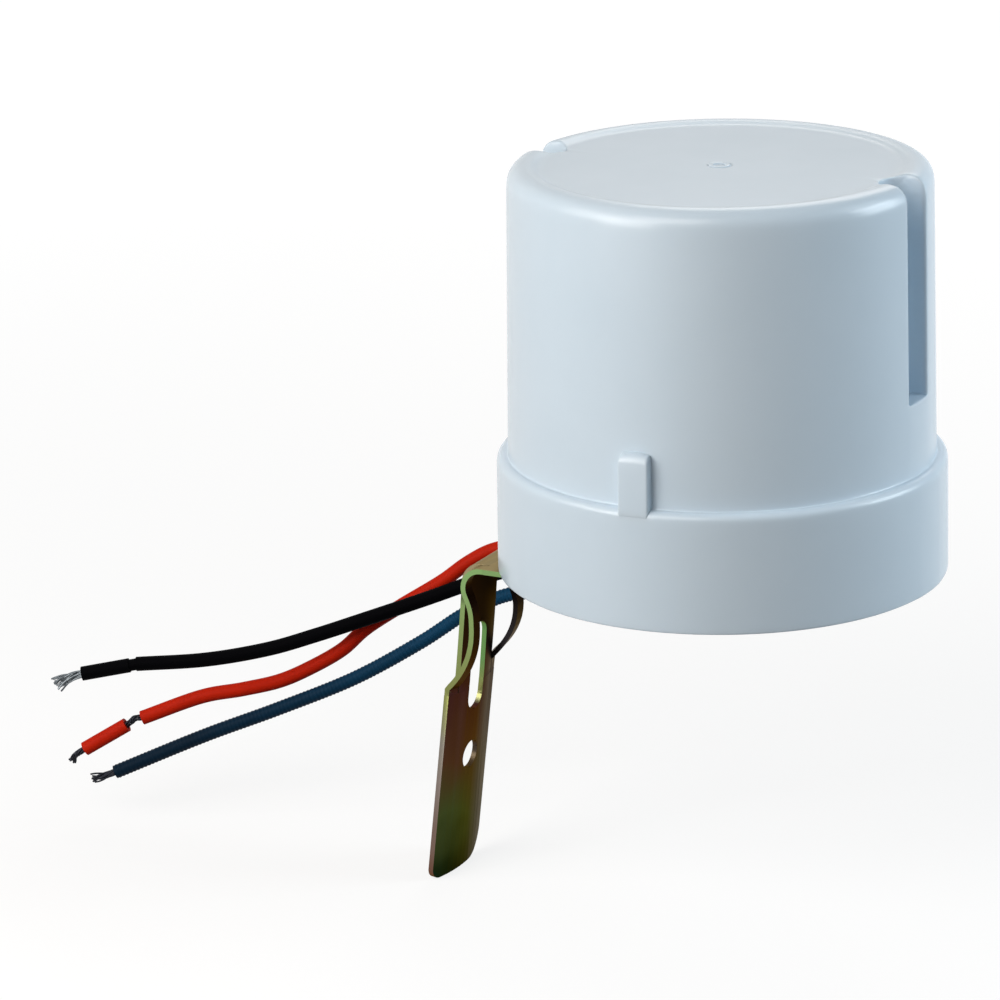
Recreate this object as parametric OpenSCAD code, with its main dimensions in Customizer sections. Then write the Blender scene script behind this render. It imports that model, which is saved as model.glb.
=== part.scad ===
// A day and night light switch: a moulded cover that snaps over a round base, a folded steel
// bracket screwed under the base, three stripped leads and the sensing circuit inside.
// Millimetres, Z up along the cover's axis. The origin is the middle of the bracket's wall hole,
// on the face that goes against the wall, and the bracket stands on the -X side.

/* [Cover] */
// Outer diameter at the foot of the cover
cover_d = 68; // [62:0.5:74]
// Height from the foot to the rim
cover_h = 62; // [56:0.5:68]
// Wall thickness of the moulding
cover_wall = 2; // [1.6:0.1:2.4]
// Height of the wide skirt at the foot
skirt_h = 18; // [16:0.5:21]
// Width of the ledge between the skirt and the cup
ledge_w = 1.7; // [1.3:0.1:2.2]
// Rounding along the edge of the ledge
ledge_r = 1.1; // [0.6:0.1:1.2]
// Draft of the skirt, as a loss of radius over its height
skirt_draft = 0.15; // [0:0.05:0.3]
// Draft of the cup, as a loss of radius over its height
cup_draft = 0.6; // [0.2:0.1:1]
// Rounding of the rim
rim_r = 2.6; // [2:0.1:3.2]
// Flat crest on the rim, inside the rounding
rim_land = 0.4; // [0.3:0.1:1]
// Width of the slope from the crest down to the dished top
dish_slope = 2.4; // [1.5:0.1:3.5]
// Depth of the dished top below the crest
dish_depth = 0.5; // [0.3:0.1:1]
// Diameter of the ring left by the moulding gate
gate_d = 2.8; // [2:0.2:4]
// Width of the two upright channels
channel_w = 6.6; // [5:0.2:8]
// Depth of the channels from the rim
channel_depth = 6; // [4:0.25:7]
// Height of the channels' lower end above the foot
channel_floor = 29; // [26:0.5:34]
// Width of the two ribs that stand on the ledge
rib_w = 4.6; // [3.4:0.2:6]
// Height of the ribs above the ledge
rib_h = 8.2; // [6:0.2:10]
// Turn of the ribs from half way between the channels, in degrees
rib_turn = 2.5; // [0:0.5:6]
// Rise of the ribs' arched heads
rib_arch = 0.5; // [0.2:0.1:1]
// Rounding along the front of the ribs' heads
rib_r = 1; // [0.5:0.1:1.3]
// How far the ribs stand back from the edge of the skirt
rib_back = 0.1; // [0.1:0.1:0.6]

/* [Base] */
// Thickness of the base plate
base_t = 2.4; // [2:0.1:3]
// Thickness of the base's upright rim
base_rim_t = 1.6; // [1.2:0.1:2]
// Clearance between the base and the skirt
base_gap = 0.2; // [0.15:0.05:0.3]
// Height of the middle of the snap bead above the foot
bead_z = 9.5; // [7:0.5:11]
// How far the snap bead stands out
bead_out = 0.6; // [0.4:0.05:0.8]
// Height of the snap bead at its root
bead_h = 2; // [1.6:0.1:2.6]
// Height of the posts that carry the circuit board
post_h = 7; // [6:0.5:9]
// Diameter of the posts
post_d = 6; // [5:0.25:7]
// Radius at which the posts stand
post_place = 21.5; // [20:0.5:22.5]

/* [Bracket] */
// Thickness of the steel sheet
sheet_t = 0.8; // [0.6:0.1:1]
// Width of the bracket
bracket_w = 15; // [14:0.25:17]
// Offset of the bracket's middle from the cover's axis
bracket_offset = 10.5; // [9.5:0.25:12]
// Length of the tongue under the base, from the outer face of the bend
tongue_len = 27.5; // [25:0.5:29]
// Rounding at the corners of the tongue
tongue_r = 3; // [1.5:0.25:4]
// Inner radius of the bend
bend_r = 2.6; // [2:0.1:3.2]
// How far the bend stands out from the skirt
bend_out = 2.4; // [1.5:0.1:3.2]
// Slope of the leg just under the bend, in degrees
bend_splay = 5; // [3:0.5:6]
// Slope of the leg's lower panel, in degrees
leg_splay = 7; // [6:0.25:9]
// How far the panel's plane, carried up to the base, lies inside the bend
leg_in = 0.75; // [0.4:0.05:1.2]
// Length of the leg down its slope, from the base
leg_drop = 52.5; // [48:0.5:58]
// Radius of the leg's bowed section
gutter_r = 30; // [26:1:40]
// Rounding of the leg's lower corner on the near side
near_corner_r = 1.8; // [1:0.1:3]
// Rounding of the leg's lower corner on the far side
far_corner_r = 4.5; // [2:0.25:6]
// Width of the two strips that are lanced free and pressed inwards
lance_w = 2.1; // [1.7:0.1:2.6]
// Width of the cut beside each lanced strip
lance_cut = 0.2; // [0.15:0.05:0.4]
// How far the lanced strips set back from the bend
lance_set = 1; // [0.6:0.1:1.4]
// How far the near strip bulges in from the leg
near_bulge = 2.8; // [2.2:0.1:3.4]
// How far the far strip bulges in from the leg
far_bulge = 3.6; // [2.8:0.1:4.2]
// Distance of the near strip's crest down the leg
near_crest = 10.4; // [9.6:0.1:11.2]
// Distance of the far strip's crest down the leg
far_crest = 10; // [9.2:0.1:10.8]
// Distance of the near strip's lower end down the leg
near_end = 20.4; // [19.6:0.1:22]
// Distance of the far strip's lower end down the leg
far_end = 19.2; // [18.4:0.1:19.6]
// Width of the slot in the leg
slot_w = 4.6; // [3.6:0.1:5]
// Distance of the slot's upper end down the leg
slot_top = 11.2; // [9.5:0.1:12.5]
// Distance of the slot's lower end down the leg
slot_end = 25.6; // [24.5:0.1:27]
// Diameter of the wall hole
hole_d = 4.6; // [3.6:0.1:5]
// Distance of the wall hole down the leg
hole_drop = 33.3; // [32:0.1:37]

/* [Bracket fixing] */
// Thread diameter of the screw that holds the bracket
fix_d = 4; // [3:0.5:5]
// Clearance of the fixing screw in its holes, on the diameter
fix_gap = 0.4; // [0.2:0.05:0.6]
// Distance of the fixing screw from the end of the tongue
fix_end = 8; // [6.5:0.25:10]
// Diameter of the fixing screw's head
fix_head_d = 8; // [7:0.25:9]
// Height of the fixing screw's head
fix_head_h = 2.6; // [2:0.1:3.2]
// Thickness of the spring washer
washer_t = 0.9; // [0.6:0.1:1.2]
// Outer diameter of the spring washer
washer_d = 7.4; // [6.6:0.2:8.4]
// Width of the nut across its flats
nut_af = 7; // [6.5:0.25:8]
// Height of the nut
nut_h = 3.2; // [2.4:0.1:4]
// Length of thread past the nut
thread_past = 0.8; // [0.3:0.1:1.2]

/* [Leads] */
// Outer diameter of each lead
lead_d = 2.3; // [2:0.1:2.6]
// Diameter of the bundle of bare strands
strand_d = 1.2; // [0.9:0.05:1.4]
// Clearance of a lead in the bush and of the strands in a sleeve, on the diameter
lead_gap = 0.2; // [0.1:0.05:0.3]
// Diameter of the bush through the base
bush_d = 10; // [9:0.25:11]
// How far the bush's flanges stand over the base
bush_lip = 1.5; // [1:0.1:2]
// Thickness of the bush's flanges
bush_lip_t = 1.5; // [1:0.1:2]
// Radius at which the leads pass through the bush
lead_circle = 2.4; // [2:0.1:2.8]

/* [Circuit] */
// Diameter of the circuit board
board_d = 54; // [50:0.5:56]
// Thickness of the circuit board
board_t = 1.6; // [1.2:0.1:2]
// Thread diameter of the board's screws
board_screw_d = 2.6; // [2.2:0.1:3]
// Clearance of the board's screws in the board, on the diameter
board_screw_gap = 0.4; // [0.2:0.1:0.6]
// Head diameter of the board's screws
board_head_d = 5; // [4.4:0.1:5.6]
// Head height of the board's screws
board_head_h = 1.8; // [1.4:0.1:2.2]
// Length of the board's screws under the head
board_screw_l = 6.5; // [5:0.5:7.5]
// Side of the relay, across its width and its height
relay_side = 15.5; // [13:0.5:17]
// Length of the relay
relay_l = 19; // [17:0.5:21]
// Length of the film capacitor
film_l = 18; // [15:0.5:20]
// Thickness of the film capacitor
film_t = 7; // [5:0.5:8]
// Height of the film capacitor
film_h = 13; // [10:0.5:15]
// Diameter of the electrolytic capacitor
can_d = 8; // [6:0.5:9]
// Height of the electrolytic capacitor
can_h = 12; // [9:0.5:15]
// Diameter of the varistor
varistor_d = 9; // [7:0.5:10]
// Thickness of the varistor
varistor_t = 3.6; // [3:0.2:4.5]
// Diameter of the photocell
cell_d = 7; // [5:0.5:8]
// Thickness of the photocell
cell_t = 2.2; // [1.8:0.1:3]
// Height of the photocell's face above the board
cell_up = 24; // [18:0.5:30]
// Diameter of each rectifier diode
diode_d = 2.7; // [2.2:0.1:3.2]
// Length of each rectifier diode
diode_l = 5; // [4:0.25:6]
// Diameter of the zener diode
zener_d = 2; // [1.6:0.1:2.4]
// Length of the zener diode
zener_l = 4; // [3:0.25:5]
// Diameter of each resistor
resistor_d = 2.4; // [1.8:0.1:3]
// Length of each resistor
resistor_l = 6.3; // [5:0.25:7]
// Diameter of the transistor's case
transistor_d = 4.6; // [4:0.1:5.2]
// Distance between the transistor's legs
transistor_pitch = 1.27; // [1.1:0.01:1.4]
// Height at which the varistor and the transistor stand off the board
stand_off = 2.5; // [1.5:0.25:4]
// Clear space between neighbours in a row of components
row_gap = 1.1; // [0.8:0.1:1.4]
// Length of a lying component's legs beside its body
leg_out = 2; // [1.5:0.25:3]
// Thickness of the components' wire legs
leg_d = 0.7; // [0.6:0.05:0.9]

/* [Hidden] */
$fn = 96;

// Steps along a drawn curve, and a length by which a cut runs past the face it opens
curve_steps = 12;
past = 1;

// Radii and heights of the cover
foot_r = cover_d / 2;
ledge_edge_r = foot_r - skirt_draft;
cup_foot_r = ledge_edge_r - ledge_w;
rim_outer_r = cup_foot_r - cup_draft;
crest_r = rim_outer_r - rim_r - rim_land;
skirt_bore_r = foot_r - cover_wall;
skirt_roof = skirt_h - cover_wall;
ceiling = cover_h - dish_depth - cover_wall;
channel_back = rim_outer_r - channel_depth;

// Radii and heights of the base
base_r = skirt_bore_r - base_gap;
board_z = base_t + post_h;
parts_z = board_z + board_t;
post_angles = [0, 95, 265];
board_holes = [for (a = post_angles) [post_place * cos(a), post_place * sin(a)]];

// Places of the bracket: the outer face of its bend and of its panel at the base, and the panel's bow
bend_x = -foot_r - bend_out;
leg_x = bend_x + leg_in;
tongue_end_x = bend_x + tongue_len;
fix_place = [tongue_end_x - fix_end, -bracket_offset];
bend_mid_r = bend_r + sheet_t / 2;
half_w = bracket_w / 2;
leg_bow = gutter_r - sqrt(gutter_r * gutter_r - half_w * half_w);
panel_top = near_end + past;
hole_spot = on_slope(leg_bow / 2, hole_drop);
mount_point = [hole_spot[0], -bracket_offset, hole_spot[1]];

// Edges across the leg, from its middle, of the two lanced strips and of the strip between them,
// and how far a strip's ends lie inside the sheet they run into
near_edges = [-half_w, lance_w - half_w];
far_edges = [half_w - lance_w, half_w];
strip_w = bracket_w - 2 * (lance_w + lance_cut);
strip_edges = [for (i = [0:8]) strip_w * (i / 8 - 1 / 2)];
tuck = 0.03;

// Slack round the nut and the board's screws, and the wall round the nut
snug_gap = 0.15;
nut_wall = 1.6;

// Places of the components on the board, from the cover's axis
relay_place = [9, -9.5];
film_place = [4, 10];
can_place = [-10, -16];
varistor_place = [18, 9.5];
diode_place = [-12, -8];
zener_place = [-1.5, 15.6];
resistor_place = [-12, 8.5];
transistor_place = [6, 19];

// Place of the bush and of the three leads in it, by their angle round the bush
bush_place = [-14, 12];
red_angle = 90;
black_angle = 210;
blue_angle = 330;

// The leads' routes after the bush, each up to where its insulation is cut
red_route = [[-14.2, 14.4, -3.4], [-15.2, 14.4, -5.6], [-17.4, 14.5, -7], [-21, 14.6, -7.4],
    [-28, 14.6, -7], [-35, 14.2, -6.5], [-40.6, 13.5, -6.6], [-45.7, 12.4, -7.7], [-49.7, 11.1, -10],
    [-53.8, 9.5, -13.3], [-59.9, 7, -17.4], [-65, 4.7, -21.1], [-68.6, 3, -24.7], [-73.1, 0.5, -27.6],
    [-77.2, -2.4, -29.5], [-82.2, -5.6, -30.6], [-88.3, -8.6, -31.8], [-96.8, -13, -35.2]];
black_route = [[-16.2, 10.8, -4.2], [-17.4, 10.8, -6.8], [-19.9, 10.9, -8.6], [-24.4, 11, -9.4],
    [-30.5, 11.1, -9.4], [-36.7, 10.9, -9.3], [-40.7, 10.5, -9.7], [-45.2, 9.7, -11.1],
    [-49.8, 8.4, -13.2], [-55.9, 6, -15.7], [-63.9, 2.2, -18.7], [-71, -1.2, -21.3],
    [-78.1, -4.5, -23.6], [-87.1, -8.7, -25.3], [-97.2, -13.3, -26]];
blue_route = [[-11.9, 10.8, -5.5], [-12.5, 10.8, -8.5], [-14.2, 10.8, -11], [-17.4, 10.9, -12.9],
    [-23.4, 11.1, -13.8], [-30.6, 11.2, -13.6], [-36.8, 10.9, -13.4], [-40.8, 10.6, -13.7],
    [-45.3, 9.8, -15.4], [-49.9, 8.4, -18.2], [-56, 5.7, -22.7], [-65.6, 1.3, -28.6],
    [-76.8, -3.8, -33.7], [-87.9, -9, -38.3], [-101, -15.1, -44.4]];
// The cut-off sleeves, from end to end, and the ends of the bare strands
black_sleeve_ends = [[-98.2, -13.8, -26.2], [-105.2, -17, -27.6]];
red_sleeve_ends = [[-99, -14.2, -36.3], [-105.3, -17.1, -40.4]];
black_tip = [[-107.7, -18.2, -28.5], [-109.7, -19.2, -29.8]];
red_tip = [[-106.7, -17.7, -41.6], [-107.5, -18, -42.8]];
blue_tip = [[-102.8, -16, -45.1], [-104.7, -16.9, -45.7]];

// Normal of the upright plane that the leads roughly follow
route_side = [0.42, -0.91, 0];
tube_sides = 8;

// Points of an arc about a centre, from one angle to another
function arc(c, r, from, to) =
    [for (i = [0:curve_steps]) c + r * [cos(from + (to - from) * i / curve_steps),
                                        sin(from + (to - from) * i / curve_steps)]];

// Points of a cubic curve with its two ends and two handles, without its first end
function cubic(a, b, c, d) =
    [for (i = [1:curve_steps]) let (t = i / curve_steps, s = 1 - t)
        s * s * s * a + 3 * s * s * t * b + 3 * s * t * t * c + t * t * t * d];

// Unit vector along a path at one of its points
function heading(path, i) =
    let (d = path[min(i + 1, len(path) - 1)] - path[max(i - 1, 0)]) d / norm(d);

// Point at an angle round the bush
function in_bush(angle) = bush_place + lead_circle * [cos(angle), sin(angle)];

// A lead's whole path: down from the board through the bush, then its route
function lead_path(angle, route) =
    let (p = in_bush(angle))
    concat([[p[0], p[1], board_z], [p[0], p[1], base_t], [p[0], p[1], -bush_lip_t]], route);

// Moves the model so that the origin is at the wall hole
module placed() {
    translate(-mount_point) children();
}

// A round tube swept along points, closed at both ends
module swept(path, d) {
    rings = [for (i = [0:len(path) - 1])
        let (h = heading(path, i), u = cross(h, route_side), n = u / norm(u), b = cross(n, h))
        for (k = [0:tube_sides - 1])
            path[i] + d / 2 * (n * cos(360 * k / tube_sides) + b * sin(360 * k / tube_sides))];
    last = (len(path) - 1) * tube_sides;
    walls = [for (i = [0:len(path) - 2], k = [0:tube_sides - 1])
        let (a = i * tube_sides + k, b = i * tube_sides + (k + 1) % tube_sides)
        each [[a, b, b + tube_sides], [a, b + tube_sides, a + tube_sides]]];
    caps = [[for (k = [tube_sides - 1:-1:0]) k], [for (k = [0:tube_sides - 1]) last + k]];
    polyhedron(rings, concat(walls, caps), convexity = 6);
}

// Stands children, drawn along Z from the origin, on the line from a to b
module along(a, b) {
    d = b - a;
    translate(a) rotate([0, acos(d[2] / norm(d)), atan2(d[1], d[0])]) children();
}

// Outer form of the cover, solid
module cover_outside() {
    rotate_extrude() polygon(concat(
        [[0, 0], [foot_r, 0]],
        arc([ledge_edge_r - ledge_r, skirt_h - ledge_r], ledge_r, 0, 90),
        [[cup_foot_r, skirt_h]],
        arc([rim_outer_r - rim_r, cover_h - rim_r], rim_r, 0, 90),
        cubic([crest_r, cover_h], [crest_r - dish_slope / 2, cover_h],
              [crest_r - dish_slope / 2, cover_h - dish_depth],
              [crest_r - dish_slope, cover_h - dish_depth]),
        [[0, cover_h - dish_depth]]));
}

// Hollow of the cover, with the groove for the snap bead
module cover_hollow() {
    rotate_extrude() polygon(concat(
        [[0, -past], [skirt_bore_r, -past]],
        snap(skirt_bore_r, base_gap),
        [[skirt_bore_r, skirt_roof], [cup_foot_r - cover_wall, skirt_roof]],
        arc([rim_outer_r - cover_wall - rim_r / 2, ceiling - rim_r / 2], rim_r / 2, 0, 90),
        [[0, ceiling]]));
}

// Section of the snap bead on a wall of some radius, made larger all round by a gap
function snap(r, gap) =
    let (half = bead_h / 2 + gap, out = bead_out)
    [[r, bead_z - half], [r + out, bead_z - half / 3], [r + out, bead_z + half / 3],
     [r, bead_z + half]];

// Plan of a channel with its round back, grown all round by a wall
module channel_plan(grow) {
    half = channel_w / 2 + grow;
    middle = channel_back + channel_w / 2;
    translate([middle, 0]) circle(half);
    translate([middle, -half]) square([foot_r, 2 * half]);
}

module both_channels(floor, grow) {
    for (turn = [0, 180]) rotate(turn) translate([0, 0, floor])
        linear_extrude(cover_h) channel_plan(grow);
}

// One rib: an upright bar with an arched head, rounded at its front, that stands against the cup
module rib() {
    foot = skirt_h - ledge_r;
    head = skirt_h + rib_h;
    outer = ledge_edge_r - rib_back;
    inner = rim_outer_r - cover_wall / 2;
    arch_r = (rib_w * rib_w / 4 + rib_arch * rib_arch) / (2 * rib_arch);
    lean = asin(rib_w / 2 / arch_r);
    intersection() {
        rotate([90, 0, 0]) linear_extrude(foot_r) polygon(concat(
            [[-rib_w / 2, foot], [rib_w / 2, foot]],
            arc([0, head - arch_r], arch_r, 90 - lean, 90 + lean)));
        rotate_extrude() polygon(concat(
            [[inner, foot], [outer, foot]],
            arc([outer - rib_r, head - rib_r], rib_r, 0, 90),
            [[inner, head]]));
    }
}

module cover() {
    gate_step = 0.25;
    color("#c6d3dd") placed() {
        difference() {
            union() {
                difference() {
                    cover_outside();
                    cover_hollow();
                }
                intersection() {
                    cover_outside();
                    both_channels(channel_floor - cover_wall, cover_wall);
                }
                for (turn = [0, 180]) rotate(turn + rib_turn) rib();
            }
            both_channels(channel_floor, 0);
        }
        translate([0, 0, cover_h - dish_depth - cover_wall / 2]) difference() {
            cylinder(h = cover_wall / 2 + gate_step, d = gate_d);
            translate([0, 0, cover_wall / 2]) cylinder(h = gate_step + past, d = gate_d / 2);
        }
    }
}

module base_plate() {
    color("#b7c2ca") placed() difference() {
        union() {
            rotate_extrude() polygon(concat(
                [[0, 0], [base_r, 0]],
                snap(base_r, 0),
                [[base_r, skirt_roof], [base_r - base_rim_t, skirt_roof],
                 [base_r - base_rim_t, base_t], [0, base_t]]));
            for (p = board_holes) translate(p) cylinder(h = board_z, d = post_d);
            translate(fix_place) cylinder(h = base_t + nut_h / 2, d = nut_af / cos(30) + 2 * nut_wall);
        }
        for (p = board_holes) translate([p[0], p[1], base_t])
            cylinder(h = post_h + past, d = board_screw_d + snug_gap);
        translate([fix_place[0], fix_place[1], -past]) cylinder(h = base_t + 2 * past, d = fix_d + fix_gap);
        translate([fix_place[0], fix_place[1], base_t])
            cylinder(h = nut_h, d = nut_af / cos(30) + 2 * snug_gap, $fn = 6);
        translate([bush_place[0], bush_place[1], -past]) cylinder(h = base_t + 2 * past, d = bush_d);
    }
}

// How far the leg's bowed section stands in from its plane, at a distance across the leg
function bow_at(y) = leg_bow / 2 - gutter_r + sqrt(gutter_r * gutter_r - y * y);

// Point of the leg in X and Z, so far in from its outer face and so far down its slope
function on_slope(inward, down) =
    [leg_x + inward * cos(leg_splay) - down * sin(leg_splay),
     -inward * sin(leg_splay) - down * cos(leg_splay)];

// Middle of the sheet where a strip, after its lower end, runs on into the panel
function into_panel(end_down) =
    [for (i = [0.5, 1.5]) on_slope(sheet_t / 2, max(panel_top, end_down + past) + i * past)];

// Path of the leg's middle strip: out along the tongue, round the bend and down the slope
function strip_path() =
    let (c = [bend_x + sheet_t + bend_r, -sheet_t - bend_r],
         bend = arc(c, bend_mid_r, 90, 180 - bend_splay),
         a = bend[curve_steps],
         foot = on_slope(sheet_t / 2, near_end),
         reach = (near_end + a[1]) / 3)
    concat([c + [lance_set + 1.5 * past, bend_mid_r]], bend,
           cubic(a, a - reach * [sin(bend_splay), cos(bend_splay)],
                 on_slope(sheet_t / 2, near_end - reach), foot),
           into_panel(near_end));

// Path of a lanced strip: a tighter bend, a bulge towards the cover, then back into the leg
function lance_path(crest_down, bulge, end_down) =
    let (turn = 25,
         c = [bend_x + lance_set + sheet_t + bend_r, -sheet_t - bend_r],
         bend = arc(c, bend_mid_r, 90, 180 + turn),
         a = bend[curve_steps],
         crest = on_slope(sheet_t / 2, crest_down) + [bulge, 0],
         foot = on_slope(sheet_t / 2, end_down),
         reach = (end_down - crest_down) / 2)
    concat([c + [1.5 * past, bend_mid_r]], bend,
           cubic(a, a + reach / 2 * [sin(turn), -cos(turn)], crest + [0, reach / 2], crest),
           cubic(crest, crest - [0, reach],
                 on_slope(sheet_t / 2, end_down - reach / 3) + [reach / 4, 0], foot),
           into_panel(end_down));

// A strip of the sheet, bent along a path in X and Z between edges across the leg. It is flat at
// the bend and takes on the leg's bow over its lower curve. Both ends are a little thinner, so that
// they lie inside the tongue and the panel.
module bent_strip(path, edges) {
    rows = len(path);
    cols = len(edges);
    back = rows * cols;
    bow_from = rows - 3 - curve_steps;
    points = [for (side = [1, -1], i = [0:rows - 1], y = edges)
        let (h = heading(path, i),
             tucked = i == 0 || i > rows - 3 ? tuck : 0,
             bowed = max(0, min(1, (i - bow_from) / curve_steps)),
             p = path[i] + [h[1], -h[0]] * (side * (sheet_t / 2 - tucked) - bowed * bow_at(y)))
        [p[0], y * (1 - tucked / half_w) - bracket_offset, p[1]]];
    faces = [for (i = [0:rows - 2], j = [0:cols - 2]) let (a = i * cols + j, b = back + a)
        each [[a, a + cols, a + cols + 1], [a, a + cols + 1, a + 1],
              [b, b + cols + 1, b + cols], [b, b + 1, b + cols + 1]]];
    near_side = [for (i = [0:rows - 2]) let (a = i * cols, b = back + a)
        each [[a, b, b + cols], [a, b + cols, a + cols]]];
    far_side = [for (i = [0:rows - 2]) let (a = i * cols + cols - 1, b = back + a)
        each [[a, b + cols, b], [a, a + cols, b + cols]]];
    ends = [for (j = [0:cols - 2]) let (b = back + j, low = back - cols + j, low_b = back + low)
        each [[j, j + 1, b + 1], [j, b + 1, b],
              [low, low_b + 1, low + 1], [low, low_b, low_b + 1]]];
    polyhedron(points, concat(faces, near_side, far_side, ends), convexity = 6);
}

// Turns what is drawn straight down from the base so that it lies along the sloping panel
module on_leg() {
    translate([leg_x, -bracket_offset, 0]) rotate([0, leg_splay, 0]) children();
}

// A round hole square through the leg, at a distance down it
module leg_hole(down, d) {
    translate([-past, 0, -down]) rotate([0, 90, 0]) cylinder(h = sheet_t + leg_bow + 2 * past, d = d);
}

// Outline of the leg's lower panel, in its own plane, with two lower corners
module panel_outline() {
    polygon(concat(
        [[half_w, -panel_top], [-half_w, -panel_top]],
        arc([near_corner_r - half_w, near_corner_r - leg_drop], near_corner_r, 180, 270),
        arc([half_w - far_corner_r, far_corner_r - leg_drop], far_corner_r, 270, 360)));
}

// The lower panel: a wide shallow gutter, bowed towards the cover
module panel() {
    across = concat(near_edges, strip_edges, far_edges);
    on_leg() intersection() {
        rotate([90, 0, 90]) translate([0, 0, -half_w]) linear_extrude(bracket_w) panel_outline();
        translate([0, 0, -leg_drop - past]) linear_extrude(leg_drop) polygon(concat(
            [for (i = [len(across) - 1:-1:0]) [bow_at(across[i]), across[i]]],
            [for (y = across) [bow_at(y) + sheet_t, y]]));
    }
}

module bracket() {
    near_y = -bracket_offset - half_w;
    tongue_from = bend_x + lance_set + sheet_t + bend_r + past / 2;
    color("#8a8a4a") placed() difference() {
        union() {
            translate([tongue_from, near_y, -sheet_t])
                cube([tongue_end_x - tongue_r - tongue_from, bracket_w, sheet_t]);
            translate([tongue_end_x - tongue_r - past, near_y + tongue_r, -sheet_t])
                cube([tongue_r + past, bracket_w - 2 * tongue_r, sheet_t]);
            for (y = [near_y + tongue_r, near_y + bracket_w - tongue_r])
                translate([tongue_end_x - tongue_r, y, -sheet_t]) cylinder(h = sheet_t, r = tongue_r);
            bent_strip(strip_path(), strip_edges);
            bent_strip(lance_path(near_crest, near_bulge, near_end), near_edges);
            bent_strip(lance_path(far_crest, far_bulge, far_end), far_edges);
            panel();
        }
        translate([fix_place[0], fix_place[1], -sheet_t - past])
            cylinder(h = sheet_t + 2 * past, d = fix_d + fix_gap);
        on_leg() {
            translate([-past, -slot_w / 2, slot_w / 2 - slot_end])
                cube([sheet_t + leg_bow + 2 * past, slot_w, slot_end - slot_top - slot_w]);
            for (z = [slot_top + slot_w / 2, slot_end - slot_w / 2]) leg_hole(z, slot_w);
            leg_hole(hole_drop, hole_d);
        }
    }
}

module bracket_screw() {
    slot_cut = 1;
    head_z = -sheet_t - washer_t;
    color("#b9b48c") placed() translate([fix_place[0], fix_place[1], head_z]) difference() {
        union() {
            rotate_extrude() polygon(concat(
                [[0, 0], [fix_head_d / 2, 0]],
                cubic([fix_head_d / 2, 0], [fix_head_d / 2, -fix_head_h * 0.6],
                      [fix_head_d / 3, -fix_head_h], [0, -fix_head_h])));
            cylinder(h = -head_z + base_t + nut_h + thread_past, d = fix_d);
        }
        for (turn = [0, 90]) rotate(turn)
            translate([-fix_head_d / 4, -slot_cut / 2, -fix_head_h - past])
                cube([fix_head_d / 2, slot_cut, fix_head_h / 2 + past]);
    }
}

// A split ring, flattened as it is when the screw is tight
module spring_washer() {
    split = 0.6;
    color("#9b9b93") placed() translate([fix_place[0], fix_place[1], -sheet_t - washer_t]) difference() {
        cylinder(h = washer_t, d = washer_d);
        translate([0, 0, -past]) cylinder(h = washer_t + 2 * past, d = fix_d + fix_gap);
        translate([0, -split / 2, -past]) cube([washer_d, split, washer_t + 2 * past]);
    }
}

module bracket_nut() {
    color("#b9b48c") placed() translate([fix_place[0], fix_place[1], base_t]) difference() {
        cylinder(h = nut_h, d = nut_af / cos(30), $fn = 6);
        translate([0, 0, -past]) cylinder(h = nut_h + 2 * past, d = fix_d + fix_gap / 4);
    }
}

// A grommet with a lip on each side of the base and one bore for each lead
module wire_bush() {
    lip_r = bush_d / 2 + bush_lip;
    color("#3a3c3f") placed() difference() {
        translate([bush_place[0], bush_place[1], 0]) {
            translate([0, 0, -bush_lip_t]) cylinder(h = bush_lip_t, r = lip_r);
            cylinder(h = base_t, d = bush_d - lead_gap / 2);
            translate([0, 0, base_t]) cylinder(h = bush_lip_t, r1 = lip_r, r2 = bush_d / 2);
        }
        for (a = [red_angle, black_angle, blue_angle])
            translate([in_bush(a)[0], in_bush(a)[1], -bush_lip_t - past])
                cylinder(h = base_t + 2 * bush_lip_t + 2 * past, d = lead_d + lead_gap);
    }
}

module lead_black() {
    color("#141414") placed() swept(lead_path(black_angle, black_route), lead_d);
}

module lead_red() {
    color("#d31a0c") placed() swept(lead_path(red_angle, red_route), lead_d);
}

module lead_blue() {
    color("#1d4d78") placed() swept(lead_path(blue_angle, blue_route), lead_d);
}

// A length of insulation that was cut and slipped along the strands
module slipped_sleeve(ends) {
    l = norm(ends[1] - ends[0]);
    along(ends[0], ends[1]) difference() {
        cylinder(h = l, d = lead_d);
        translate([0, 0, -past]) cylinder(h = l + 2 * past, d = strand_d + lead_gap);
    }
}

module black_sleeve() {
    color("#141414") placed() slipped_sleeve(black_sleeve_ends);
}

module red_sleeve() {
    color("#d31a0c") placed() slipped_sleeve(red_sleeve_ends);
}

// Bare strands from the end of a lead, through its sleeve if it has one, to the tip
module strands(route, through, tip) {
    start = route[len(route) - 1];
    straight = start + heading(route, len(route) - 1) * strand_d / 2;
    color("#8c7f70") placed() swept(concat([start, straight], through, tip), strand_d);
}

module black_strands() {
    strands(black_route, black_sleeve_ends, black_tip);
}

module red_strands() {
    strands(red_route, red_sleeve_ends, red_tip);
}

module blue_strands() {
    strands(blue_route, [], blue_tip);
}

module circuit_board() {
    color("#c8a064") placed() translate([0, 0, board_z]) difference() {
        cylinder(h = board_t, d = board_d);
        for (p = board_holes) translate([p[0], p[1], -past])
            cylinder(h = board_t + 2 * past, d = board_screw_d + board_screw_gap);
    }
}

module board_screws() {
    color("#a9a9a4") placed() for (p = board_holes) translate([p[0], p[1], parts_z]) {
        cylinder(h = board_head_h, d1 = board_head_d, d2 = board_head_d * 0.8);
        translate([0, 0, -board_screw_l]) cylinder(h = board_screw_l, d = board_screw_d);
    }
}

// Stands a component on the board
module on_board(place, turn = 0) {
    placed() translate([place[0], place[1], parts_z]) rotate(turn) children();
}

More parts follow.
